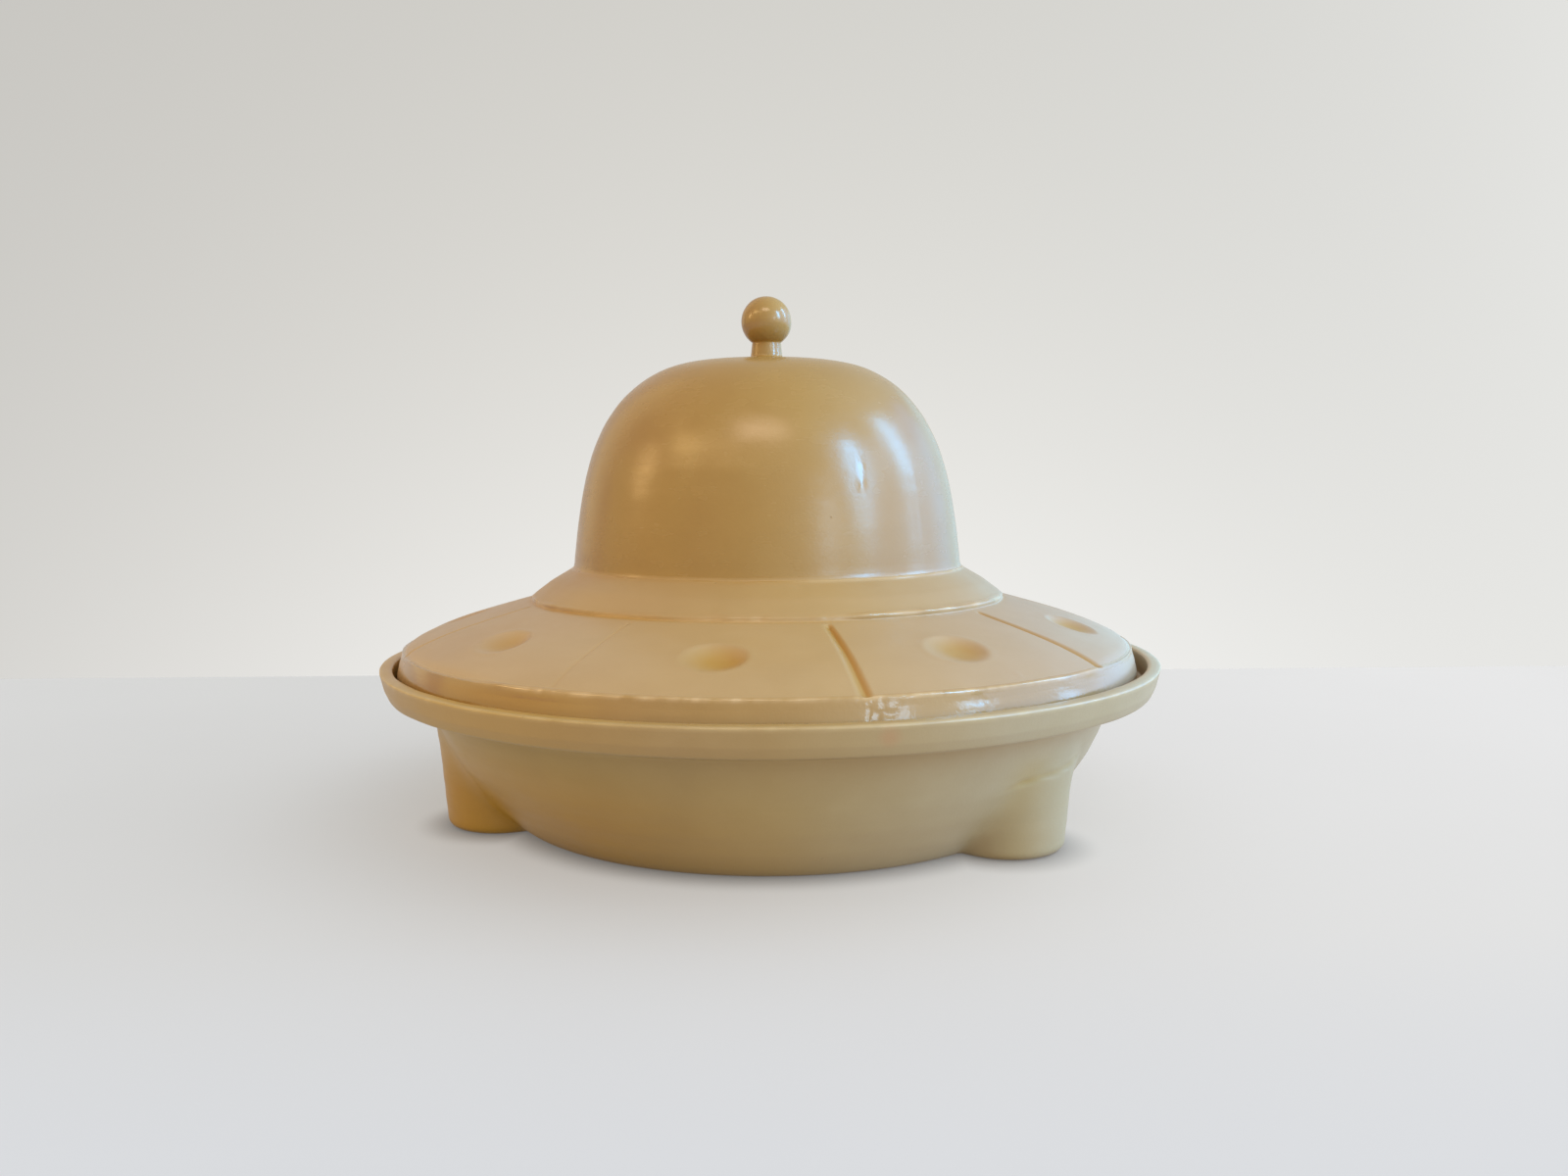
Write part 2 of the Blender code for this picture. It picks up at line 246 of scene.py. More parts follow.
def build(name, rings, first_pole, last_pole, attributes):
    """One closed mesh from rings of points; each pole closes an end of the body.
    attributes is {name: list of arrays, one value for each point of each ring}."""
    points = [np.array([first_pole])] + rings + [np.array([last_pole])]
    starts = np.cumsum([0] + [len(p) for p in points])
    co = np.concatenate(points) * MM
    ids = [np.arange(starts[i + 1], starts[i + 2]) for i in range(len(rings))]
    quads, tris = [], []
    a = ids[0]
    tris += [(0, int(a[(i + 1) % len(a)]), int(a[i])) for i in range(len(a))]
    for lower, upper in zip(ids, ids[1:]):
        q, t = stitch(lower, upper)
        quads += q
        tris += t
    b, last = ids[-1], int(starts[-1] - 1)
    tris += [(last, int(b[i]), int(b[(i + 1) % len(b)])) for i in range(len(b))]

    loops = np.concatenate(
        [np.array(quads, np.int64).ravel(), np.array(tris, np.int64).ravel()]
    )
    sizes = np.array([4] * len(quads) + [3] * len(tris))
    corner = np.concatenate([[0], np.cumsum(sizes)[:-1]])
    # signed volume decides which way round the faces go
    v = co[loops]
    total = 0.0
    for k in (1, 2):
        sel = sizes > k + 1 if k == 2 else sizes > 0
        i0, i1, i2 = v[corner[sel]], v[corner[sel] + k], v[corner[sel] + k + 1]
        total += float(np.einsum("ij,ij->i", i0, np.cross(i1, i2)).sum())
    if total < 0.0:
        for size, chosen in ((4, sizes == 4), (3, sizes == 3)):
            if chosen.any():
                index = corner[chosen][:, None] + np.arange(size)[None, :]
                loops[index] = loops[index[:, ::-1]]
    mesh = bpy.data.meshes.new(name)
    mesh.vertices.add(len(co))
    mesh.vertices.foreach_set("co", co.astype(np.float32).ravel())
    mesh.loops.add(len(loops))
    mesh.loops.foreach_set("vertex_index", loops.astype(np.int32))
    mesh.polygons.add(len(sizes))
    mesh.polygons.foreach_set("loop_start", corner.astype(np.int32))
    mesh.polygons.foreach_set("use_smooth", np.ones(len(sizes), bool))
    mesh.update(calc_edges=True)
    mesh.validate()
    for key, values in attributes.items():
        flat = np.concatenate([[values[0][0]]] + values + [[values[-1][-1]]])
        layer = mesh.attributes.new(key, "FLOAT", "POINT")
        layer.data.foreach_set("value", flat.astype(np.float32))
    obj = bpy.data.objects.new(name, mesh)
    bpy.context.scene.collection.objects.link(obj)
    return obj


def unevenness(p, seed):
    """What the hand and the wheel leave on a turned surface, in millimetres."""
    return (
        0.20 * noise(p, 90.0, seed)
        + 0.08 * noise(p, (34.0, 34.0, 16.0), seed + 1)
        + 0.045 * noise(p, (15.0, 15.0, 5.0), seed + 2)
        + 0.02 * noise(p, (6.0, 6.0, 2.6), seed + 3)
    )


# --- dish ---------------------------------------------------------------------


def bowl_radius(z):
    return BASE_RADIUS + WALL_REACH * (1.0 - (1.0 - z / WALL_FLARE_HEIGHT) ** 2)


def footed_radius(azimuth, z):
    """Radius of the bowl's outside with the feet grown out of it, (rows, columns)."""
    azimuth, z = np.meshgrid(azimuth, z)
    bowl = bowl_radius(z)
    drop = np.maximum(FOOT_EDGE - z, 0.0)
    inset = FOOT_EDGE - np.sqrt(FOOT_EDGE**2 - drop**2)
    foot = FOOT_RADIUS + FOOT_TAPER * z - inset
    sill = np.maximum(1.6 - z, 0.0)
    bowl = bowl - (1.6 - np.sqrt(1.6**2 - sill**2)) * 0.8
    blend = FOOT_BLEND + 4.0 * step(z, 1.0, 18.0)
    blend = blend * np.clip((WALL_TOP + 3.0 - z) / 26.0, 0.05, 1.0)
    nearest = np.min([np.abs(away(azimuth, m)) for m in FOOT_AZIMUTHS], axis=0)
    across = np.radians(nearest)
    low, high = bowl - 4.0, bowl + 60.0
    for _ in range(34):
        r = (low + high) / 2.0
        reach = np.hypot(r * np.cos(across) - FOOT_CENTRE, r * np.sin(across))
        a, b = r - bowl, reach - foot
        share = np.maximum(blend - np.abs(a - b), 0.0) / blend
        inside = np.minimum(a, b) - share * share * blend / 4.0 < 0.0
        low, high = np.where(inside, r, low), np.where(inside, high, r)
    return (low + high) / 2.0


def make_dish():
    count = 480

    def extra(a):
        near = np.min([np.abs(away(a, m)) for m in FOOT_AZIMUTHS], axis=0)
        return 1.6 * bump(near - 11.5, 5.0) + 1.2 * bump(away(a, 46.0), 8.0)

    azimuth = gathered(count, extra)
    under = [np.full(count, r) for r in (30.0, 62.0, 90.0)]
    heights = np.concatenate(
        [
            [0.0, 0.12, 0.35, 0.7, 1.1, 1.6, 2.3, 3.1, 4.0],
            np.linspace(5.2, WALL_TOP, 34),
        ]
    )
    wall = footed_radius(azimuth, heights)

    corner = float(bowl_radius(WALL_TOP))
    rim = rounded(
        [
            (corner, WALL_TOP, 0),
            (corner + 1.2, 48.9, 2.6),
            (156.8, 52.8, 1.5),
            (158.4, 56.4, 6.0),
            (160.0, 63.2, 0.8),
            (156.0, RIM_TOP + 0.1, 4.0),
            (154.7, RIM_TOP - 0.15, 0.9),
            (154.1, LEDGE_HEIGHT + 3.0, 1.5),
            (153.9, LEDGE_HEIGHT, 1.0),
            (142.0, LEDGE_HEIGHT, 1.1),
            (140.6, 52.4, 3.0),
            (float(bowl_radius(48.0)) - WALL_THICKNESS, 48.0, 0),
        ],
        1.05,
    )[1:]
    inner = spline(
        [(float(bowl_radius(z)) - WALL_THICKNESS, z) for z in (48.0, 40.0, 31.0, 22.5)]
        + [(106.5, 14.6), (98.0, 10.2), (FLOOR_RADIUS - 4.0, 7.9), (70.0, 7.5)],
        2.6,
    )[1:]
    floor = np.array([(r, FLOOR_THICKNESS) for r in (56.0, 42.0, 28.0, 14.0)])
    profile = np.concatenate([rim, inner, floor])
    normal = -normals_of(np.concatenate([[[corner, WALL_TOP]], profile]))[1:]

    rings, zone = [], []
    for r in under:
        rings.append(place(azimuth, r[None, :], 0.0)[0])
        zone.append("under")
    base = place(azimuth, wall, heights[:, None])
    # how far each row may move: not at the table
    free = step(heights, 0.3, 4.0)[:, None]
    d = unevenness(base, 11)
    z3, az = heights[:, None], azimuth[None, :]
    d += 0.05 * np.sin(z3 * 0.72 + 1.5 * noise(base, 70.0, 15)) * step(z3, 3.0, 9.0)
    # where a foot's clay was smeared up on the bowl its edge still shows
    line = 30.0 + 0.27 * (az - 39.0)
    inside_span = step(az, 36.0, 41.0) * (1.0 - step(az, 54.0, 58.0))
    d -= 0.75 * bump(z3 - line, 0.60) * inside_span
    d += 0.12 * step(z3, line + 0.5, line - 1.4) * bump(z3 - line, 9.0) * inside_span
    d += spots(base, ((-2.4, 23.2, 0.9, 0.42), (9.0, 31.0, 0.7, 0.2), (-31.0, 37.0, 0.8, 0.2)))
    radial = np.stack(
        [np.sin(np.radians(azimuth)), -np.cos(np.radians(azimuth)), 0 * azimuth], axis=-1
    )
    slope = np.gradient(wall, heights, axis=0)
    lean = 1.0 / np.sqrt(1.0 + slope**2)
    wall_points = base + (radial[None] * lean[..., None]) * (d * free)[..., None]
    wall_points[..., 2] -= slope * lean * d * free
    wall_points[0, :, 2] = 0.0
    wall_points[1:, :, 2] = np.maximum(wall_points[1:, :, 2], 0.01)
    for row in wall_points:
        rings.append(row)
        zone.append("wall")

    base = place(azimuth, profile[:, :1], profile[:, 1:])
    r, z = profile[:, :1], profile[:, 1:]
    n_rim, n_inner = len(rim), len(inner)
    rows = np.arange(len(profile))[:, None]
    d = unevenness(base, 21) * 0.8
    d = d + 0.10 * noise(base, (16.0, 16.0, 1e3), 23) * (rows < n_rim)
    # turning rings inside the bowl, and a spiral on its floor
    turned = step(z, 54.0, 46.0) * (rows >= n_rim)
    d += 0.22 * turned * np.sin((r - z * 1.3) * 0.92 + azimuth[None] * math.pi / 180.0)
    d *= step(rows + 0.0 * azimuth[None], -1.0, 4.0)
    face = 1.0 - (r > 141.0) * (r < 154.4) * (z < 56.6) * 0.85  # the ledge stays true
    d *= face
    moved = (
        base
        + radial[None] * (normal[:, :1] * d)[..., None]
        + np.array([0.0, 0.0, 1.0]) * (normal[:, 1:] * d)[..., None]
    )
    for row in moved:
        rings.append(row)
        zone.append("rim")

    gloss, pooled_glaze_and_shade, pale_edge_and_highlight = [], [], []
    for ring, kind in zip(rings, zone):
        zz = ring[:, 2]
        rr = np.hypot(ring[:, 0], ring[:, 1])
        if kind == "under":
            gloss.append(np.full(count, -1.0))
            pooled_glaze_and_shade.append(np.zeros(count))
            pale_edge_and_highlight.append(np.zeros(count))
            continue
        lip = bump(zz - RIM_TOP, 1.6) * (rr > 153.5)
        gloss.append(0.42 * lip)
        crease = 0.0
        if kind == "wall":
            across = 30.0 + 0.27 * (azimuth - 39.0)
            crease = bump(zz - across, 0.9) * step(azimuth, 36, 41) * step(-azimuth, -58, -54)
        # painted shade under the rim's overhang and along the crease line by the right foot; the lip's
        # top is darker too
        nook = bump(zz - 49.0, 3.2) * (rr > 138.0) * (kind == "wall" or kind == "rim")
        top = step(zz, 62.2, 63.0) * step(-rr, -159.2, -158.4) * (rr > 153.5)
        # painted shade in the hollow at the left of this foot, where it meets the bowl
        foot_shade = bump(azimuth - 41.5, 4.0) * step(-zz, -44.0, -34.0) * (kind == "wall")
        pooled_glaze_and_shade.append(0.15 * nook + 0.4 * crease + 0.35 * top + 0.45 * foot_shade)
        # paler thin glaze and a painted highlight line along the lip's outer corner
        dots = noise(ring, (4.0, 4.0, 9.0), 25)
        pale_edge_and_highlight.append(bump(np.hypot(rr - 159.7, zz - 62.9), 0.75) * (0.34 + 0.28 * dots))
    top = len(under) + len(heights)
    for i in range(top + n_rim, len(rings)):
        gloss[i] = np.full(count, 0.35)
    return build(
        "dish_body",
        rings,
        (0.0, 0.0, 0.0),
        (0.0, 0.0, FLOOR_THICKNESS),
        {"gloss": gloss, "pooled_glaze_and_shade": pooled_glaze_and_shade, "pale_edge_and_highlight": pale_edge_and_highlight},
    )


def spots(p, where):
    """Small raised specks at (azimuth, height, radius, rise) on a turned wall."""
    azimuth = np.degrees(np.arctan2(p[..., 0], -p[..., 1]))
    r = np.hypot(p[..., 0], p[..., 1])
    total = 0.0
    for a, z, radius, rise in where:
        across = np.radians(away(azimuth, a)) * r
        total = total + rise * np.exp(-((across**2 + (p[..., 2] - z) ** 2) / radius**2))
    return total


# --- lid ----------------------------------------------------------------------


def brim_height(r):
    share = np.maximum(r - BRIM_INNER, 0.0) / (BRIM_OUTER - BRIM_INNER)
    return BRIM_INNER_HEIGHT - BRIM_SLOPE * (r - BRIM_INNER) - BRIM_CURL * share**4


# azimuth, lean (degrees over the brim), width, depth
GROOVES = (
    (11.8, 0.0, 4.8, 1.25),
    (51.6, 0.8, 4.1, 1.15),
    (92.0, -0.6, 3.6, 1.1),
    (132.3, 0.7, 4.2, 1.2),
    (171.8, 0.2, 3.4, 1.0),
    (212.2, -0.8, 4.0, 1.15),
    (251.9, 0.5, 3.2, 0.9),
    (291.6, -0.9, 2.7, 0.75),
    (331.9, 0.4, 2.4, 0.17),
)
# azimuth, radius, half width round, half width out, depth
DIMPLES = (
    (30.4, 126.8, 11.5, 9.8, 2.3),
    (69.4, 127.2, 11.4, 9.6, 2.2),
    (111.8, 126.4, 11.6, 9.9, 2.1),
    (152.1, 127.0, 12.0, 9.6, 2.3),
    (191.7, 126.6, 11.4, 9.9, 2.2),
    (232.2, 126.8, 11.7, 9.6, 2.0),
    (271.8, 127.1, 11.3, 9.9, 2.2),
    (311.9, 126.9, 11.4, 8.7, 2.0),
    (352.1, 126.6, 11.1, 9.4, 2.1),
)


def brim_marks(azimuth, r):
    """Depth of the panel lines and thumb dimples, and how much pooled glaze and painted shade each point
    takes.
    """
    depth, pooled_glaze_and_shade = 0.0, 0.0
    share = (r - 124.5) / 44.0
    ends = step(r, 100.2, 103.2) * (1.0 - step(r, 148.0, 149.8) * 0.75)
    wobble = noise(
        np.stack([r + 0 * azimuth, 0 * r + azimuth, 0 * r + 0 * azimuth], -1), 14.0, 31
    )
    for middle, lean, width, deep in GROOVES:
        across = np.radians(away(azimuth, middle + lean * share)) * r + 0.18 * wobble
        w = width / 2.0 * (0.84 + 0.3 * (share + 0.5))
        bottom = 0.22 * w  # the tool leaned, so the right wall is the steeper one
        left, right = (across - bottom) / (w + bottom), (across - bottom) / (w - bottom)
        t = np.where(across < bottom, -left, right)
        v = np.clip(1.0 - t, 0.0, None)
        # sharp V, softened at its bottom and at both lips
        v = np.sqrt(v * v + 0.012) - math.sqrt(0.012) if np.isscalar(v) else v
        v = v * v * (1.6 - 0.6 * v) * 0.45 + v * 0.55
        depth = depth + deep * v * ends
        # pooled glaze and painted shade along the groove
        pooled_glaze_and_shade = np.maximum(pooled_glaze_and_shade, np.clip(v * 1.8, 0, 1) * ends * min(1.0, deep))
    for middle, ring, half_t, half_r, deep in DIMPLES:
        u = np.radians(away(azimuth, middle)) * ring / half_t
        v = (r - ring) / half_r
        rho = np.sqrt(u * u + v * v)
        cap = np.where(rho < 1.0, 1.0 - rho * rho, 0.0)
        soft = 0.05
        edge = np.clip((1.0 + soft - rho) / (2 * soft), 0.0, 1.0)
        cap = np.where(rho > 1.0 - soft, 2 * soft * edge**2 * (1.0 - soft / 2), cap)
        tilt = 1.0 + 0.60 * u - 0.24 * v
        depth = depth + deep * cap * tilt
        # pooled glaze, with painted shade heavier on the dimple's right wall
        pooled_glaze_and_shade = np.maximum(pooled_glaze_and_shade, np.clip(cap * (1.15 + 0.75 * u), 0.0, 1.0))
        # the thumb pushed up a faint lip around itself
        depth = depth - 0.10 * bump(rho - 1.12, 0.10)
    return depth, pooled_glaze_and_shade


def make_lid():
    full, half, quarter = 672, 336, 168

    def extra(a):
        total = 2.6 * bump(away(a, 27.6), 3.0) + 1.2 * bump(away(a, 14.0), 5.0)
        total += 0.8 * bump(away(a, 27.0), 6.0)
        for g in GROOVES:
            total += 4.2 * bump(away(a, g[0]), 1.5)
        for d in DIMPLES:
            total += 0.8 * (1.0 - step(np.abs(away(a, d[0])), 5.6, 7.4))
        return total

    azimuth = gathered(full, extra)
    up = np.array([0.0, 0.0, 1.0])

    crown = np.array([(3.0, CROWN_HEIGHT), (6.0, CROWN_HEIGHT), (8.6, CROWN_HEIGHT)])
    dome = spline(DOME, 1.0)[::-1]
    # rows are close together only where the run of glaze ends
    dome = np.array([q for i, q in enumerate(dome) if i % 3 == 0 or 131.0 < q[1] < 143.0])
    foot = rounded(
        [
            (81.25, 101.2, 0),
            (81.4, 100.2, 0.9),
            (83.4, 99.1, 0),
            (91.0, 94.75, 0),
            (96.9, 90.35, 0),
            (98.5, 89.0, 0.8),
            (98.8, 87.45, 0.5),
            (100.8, float(brim_height(100.8)), 0),
        ],
        0.55,
    )[1:]
    # thin the rows out between the two joints, where nothing small shows
    keep = [
        i
        for i, (r, z) in enumerate(foot)
        if not 84.4 < r < 95.6 or i % 3 == 0
    ]
    foot = foot[keep]
    at = np.concatenate(
        [
            np.arange(101.8, 114.8, 1.25),
            np.arange(115.2, 118.9, 0.62),
            np.arange(119.6, 134.6, 1.15),
            np.arange(135.2, 138.8, 0.62),
            np.arange(139.8, 147.4, 1.2),
        ]
    )
    brim = np.stack([at, brim_height(at)], axis=1)
    edge_z = float(brim_height(BRIM_OUTER))
    band = rounded(
        [
            (148.2, float(brim_height(148.2)), 0),
            (BRIM_OUTER + 0.15, edge_z, 1.0),
            (150.5, 66.6, 4.0),
            (152.0, 60.4, 4.0),
            (152.1, 57.4, 1.0),
            (151.6, LID_BOTTOM, 1.3),
            (149.0, LID_BOTTOM, 0),
        ],
        0.78,
    )
    seat = rounded(
        [
            (149.0, LID_BOTTOM, 0),
            (144.6, LID_BOTTOM, 1.0),
            (144.0, 62.6, 3.0),
            (139.5, float(brim_height(139.5)) - 6.0, 4.0),
            (127.0, float(brim_height(127.0)) - 6.0, 20.0),
            (106.0, float(brim_height(106.0)) - 6.0, 5.0),
            (92.0, 84.7, 5.0),
            (81.0, 91.8, 6.0),
            (75.4, 101.0, 5.0),
            (74.2, 111.0, 0),
        ],
        2.4,
    )[1:]
    inner = offset_left(spline(DOME[1:-1], 4.0)[:-2], 6.0)
    inner = inner[inner[:, 1] > 112.5]
    vault = np.array([(12.0, 179.75), (5.0, 179.7)])

    parts = [
        ("crown", crown, half),
        ("dome", dome, half),
        ("foot", foot, half),
        ("brim", brim, full),
        ("band", band, full),
        ("inside", np.concatenate([seat, inner, vault]), quarter),
    ]
    profile = np.concatenate([p for _, p, _ in parts])
    normal = -normals_of(np.concatenate([[[0.0, CROWN_HEIGHT]], profile]))[1:]
    # the profile runs from the crown outwards and down, so outwards is its left side
    normal = -normal
    rings, gloss, pooled_glaze_and_shade, pale_edge_and_highlight, row = [], [], [], [], 0
    for kind, points, count in parts:
        az = azimuth[:: full // count]
        n = normal[row : row + len(points)]
        row += len(points)
        base = place(az, points[:, :1], points[:, 1:])
        r, z = points[:, :1], points[:, 1:]
        a = az[None, :]
        g = np.zeros((len(points), count))
        h = np.zeros((len(points), count))
        e = np.zeros((len(points), count))
        d = unevenness(base, 41)
        if kind == "crown":
            d = d * 0.0
        if kind == "dome":
            d = d * step(r, 10.0, 26.0)
            d += 0.02 * np.sin(z * 0.60 + 1.2 * noise(base, 60.0, 45)) * step(r, 30.0, 50.0)
            # a thin upright ridge where two coats overlap
            off = np.radians(away(a, 47.9)) * r + 0.25 * noise(base, 7.0, 46)
            d += 0.20 * bump(off, 0.7) * step(z, 146.0, 136.0)
            # a run of glaze that stopped in a drop, and specks
            path = 27.6 + 0.05 * (z - 140.0)
            off = np.radians(away(a, path)) * r
            run = np.exp(-((off / 2.1) ** 4)) * step(z, 132.0, 134.0) * step(z, 150.0, 142.0)
            d += run * (0.04 + 0.06 * noise(base, (1.6, 1.6, 2.4), 47))
            drop = np.hypot(off, (z - 134.6) * 0.72)
            d += 0.15 * bump(drop, 1.9)
            g = np.maximum(g, np.maximum(0.75 * run, bump(drop, 2.2)))
            d += spots(base, ((24.0, 127.0, 0.8, 0.16), (-14.0, 118.0, 0.8, 0.14)))
        if kind == "foot":
            along = np.radians(a) * 81.0
            ring81 = np.stack([along + 0 * r, 0 * r + 0 * a, 0 * r + 0 * a], -1)
            # bead of slip in the joint under the dome, glossy, heavier on the right
            amount = (
                0.14
                + 0.42 * step(a, 6.0, 16.0) * (1.0 - step(a, 60.0, 84.0))
                + 0.16 * noise(ring81, 11.0, 51)
                + 0.10 * noise(ring81, 3.6, 52)
            )
            s = np.hypot(r - 81.9, z - 100.1)
            bead = bump(s, 0.62)
            d = d * step(s, 0.0, 3.0)
            d += np.clip(amount, 0.0, 0.8) * bead
            g = np.maximum(g, bead * np.clip(amount * 2.2, 0.25, 1.0))
            # the collar's lower edge was smeared over the brim by hand
            ragged = (
                0.10 * noise(ring81, 16.0, 53)
                + 0.16 * noise(ring81, 5.0, 54)
                + 0.10 * noise(ring81, 2.2, 55)
            )
            s2 = np.hypot(r - 98.4, z - 88.8)
            wet = step(a, 12.0, 20.0) * (1.0 - step(a, 64.0, 80.0))
            lip = bump(s2, 1.0 + 0.35 * wet)
            d += ragged * lip * (1.4 - 0.5 * wet) + 0.62 * wet * lip
            # painted highlights, broken up, along both beads' crests
            pale = np.clip(0.55 + 0.5 * noise(ring81, 5.0, 67), 0.0, 1.0)
            e = np.maximum(e, wet * pale * bump(s2, 0.9))
            e = np.maximum(e, np.clip(amount * 1.6, 0.0, 0.8) * bump(s, 0.5) * step(a, 2.0, 12.0))
            tears = step(a, -13.5, -11.5) * (1.0 - step(a, 2.0, 5.0))
            d -= 0.5 * tears * lip * np.clip(noise(ring81, 2.8, 56) * 2.0, 0.0, 1.0)
            g = np.maximum(g, lip * (0.35 + 0.65 * wet))
            # painted shadow under the collar's lower edge, deeper at the left, and painted shade in the
            # dome's joint away from the right
            s3 = bump(np.hypot(r - 99.0, z - 87.6), 1.2)
            h = np.maximum(h, s3 * (0.45 + 0.55 * step(a, -16.0, -30.0)) * (1.0 - 0.85 * wet))
            h = np.maximum(h, 0.4 * bump(s, 1.4) * (1 - step(a, 5, 16)))
        if kind in ("brim", "band"):
            marks, glaze_and_shade_here = brim_marks(a, r)
            top = n[:, 1:] > 0.35
            d = d - marks * top
            h = np.maximum(h, glaze_and_shade_here * top)
            d += spots_out(base, ((34.9, 145.5, 0.8, 0.35), (5.0, 139.0, 0.7, 0.12)))
            arc = np.stack([np.radians(a) * 150.0 + 0 * r, 0 * a + z * 1.0, 0 * a + 0 * r], -1)
            # the turned edge: a broken, slightly raised burr
            s4 = np.hypot(r - 149.9, z - edge_z)
            smooth = 1.0 - 0.85 * step(a, 18.0, 26.0)
            d += bump(s4, 0.8) * (
                0.20
                + smooth * 0.24 * noise(arc, (3.4, 9.0, 9.0), 57)
                + smooth * 0.20 * noise(arc, (1.6, 9.0, 9.0), 58)
            )
            g = np.maximum(g, bump(s4, 1.5))
            # painted highlight: a broken pale line along the front of the edge
            dots = 0.50 + 0.45 * noise(arc, (3.2, 9.0, 9.0), 59) + 0.30 * noise(arc, (1.7, 9.0, 9.0), 60)
            span = step(a, -44.0, -34.0) * (1.0 - step(a, 47.0, 56.0))
            e = np.clip(dots, 0.0, 1.0) * bump(s4, 0.8) * span
            # round the sides and the back the edge was wiped soft
            wiped = step(-a, 36.0, 47.0) + step(a, 49.0, 60.0)
            d -= 0.95 * wiped * bump(s4, 2.6)
        if kind == "band":
            side = step(n[:, :1], 0.55, 0.85) * step(z, 56.0, 58.0)
            d = d * (1.0 - 0.6 * side)
            # long horizontal drags, and three places where the tool chattered
            d += side * (
                0.05 * noise(arc, (26.0, 1.7, 9.0), 61) + 0.03 * noise(arc, (9.0, 0.9, 9.0), 62)
            )
            chatter = (
                1.0 * bump(away(a, 14.6), 2.0)
                + 0.55 * bump(away(a, 26.6), 2.4)
                + 0.45 * bump(away(a, 42.5), 2.0)
            )
            # small scooped facets that turn towards the window
            turns = (np.radians(away(a, 11.6)) * 150.0 + 3.0 * noise(arc, (4.0, 2.2, 9.0), 65)) / 3.1
            facet = turns - np.floor(turns)
            scoop = step(a, 11.4, 12.4) * (1.0 - step(a, 15.6, 17.0)) * bump(z - 62.5, 3.6)
            d -= side * scoop * 0.34 * facet * step(1.0 - facet, 0.0, 0.3)
            d += side * scoop * 0.03 * noise(arc, (2.8, 2.0, 9.0), 66)
            rough = noise(arc, (5.0, 1.4, 9.0), 63) + 0.6 * noise(arc, (2.0, 0.9, 9.0), 64)
            d += side * chatter * (0.12 * rough - 0.12 * bump(away(a, 12.2), 0.7))
            g = np.maximum(g, side * (1.0 - 0.75 * (step(a, 46.0, 55.0) + step(-a, 58.0, 70.0))))
            # darker and more saturated at the left of the band
            run = step(-a, 12.0, 34.0) * (1.0 - step(-a, 50.0, 64.0))
            h = np.maximum(h, 0.8 * run * step(z, 72.0, 66.0) * step(z, 57.0, 60.0))
        if kind == "inside":
            d = d * step(z, LID_BOTTOM + 1.0, LID_BOTTOM + 6.0) * step(r, 8.0, 24.0)
            wave = np.sin(r * 0.5 + z * 0.75 + a * math.pi / 180.0)
            d += 0.18 * wave * step(z, 60.0, 68.0) * step(r, 12.0, 30.0)
            g[:] = 0.2
        d = np.clip(d, -3.2, 0.85)
        turn = np.radians(az)
        radial = np.stack([np.sin(turn), -np.cos(turn), 0 * turn], axis=-1)
        moved = (
            base
            + radial[None] * (n[:, :1] * d)[..., None]
            + up * (n[:, 1:] * d)[..., None]
        )
        moved[..., 0] += LID_SHIFT
        rings += list(moved)
        gloss += list(g)
        pooled_glaze_and_shade += list(h)
        pale_edge_and_highlight += list(e)
    return build(
        "lid_body",
        rings,
        (LID_SHIFT, 0.0, CROWN_HEIGHT),
        (LID_SHIFT, 0.0, 179.6),
        {"gloss": gloss, "pooled_glaze_and_shade": pooled_glaze_and_shade, "pale_edge_and_highlight": pale_edge_and_highlight},
    )


def offset_left(points, distance):
    d = np.gradient(points, axis=0)
    d /= np.hypot(d[:, 0], d[:, 1])[:, None]
    return points + np.stack([-d[:, 1], d[:, 0]], axis=1) * distance


def spots_out(p, where):
    """Small raised specks at (azimuth, radius, size, rise) on the brim."""
    azimuth = np.degrees(np.arctan2(p[..., 0], -p[..., 1]))
    r = np.hypot(p[..., 0], p[..., 1])
    total = 0.0
    for a, ring, radius, rise in where:
        across = np.radians(away(azimuth, a)) * r
        total = total + rise * np.exp(-((across**2 + (r - ring) ** 2) / radius**2))
    return total


# --- knob ---------------------------------------------------------------------


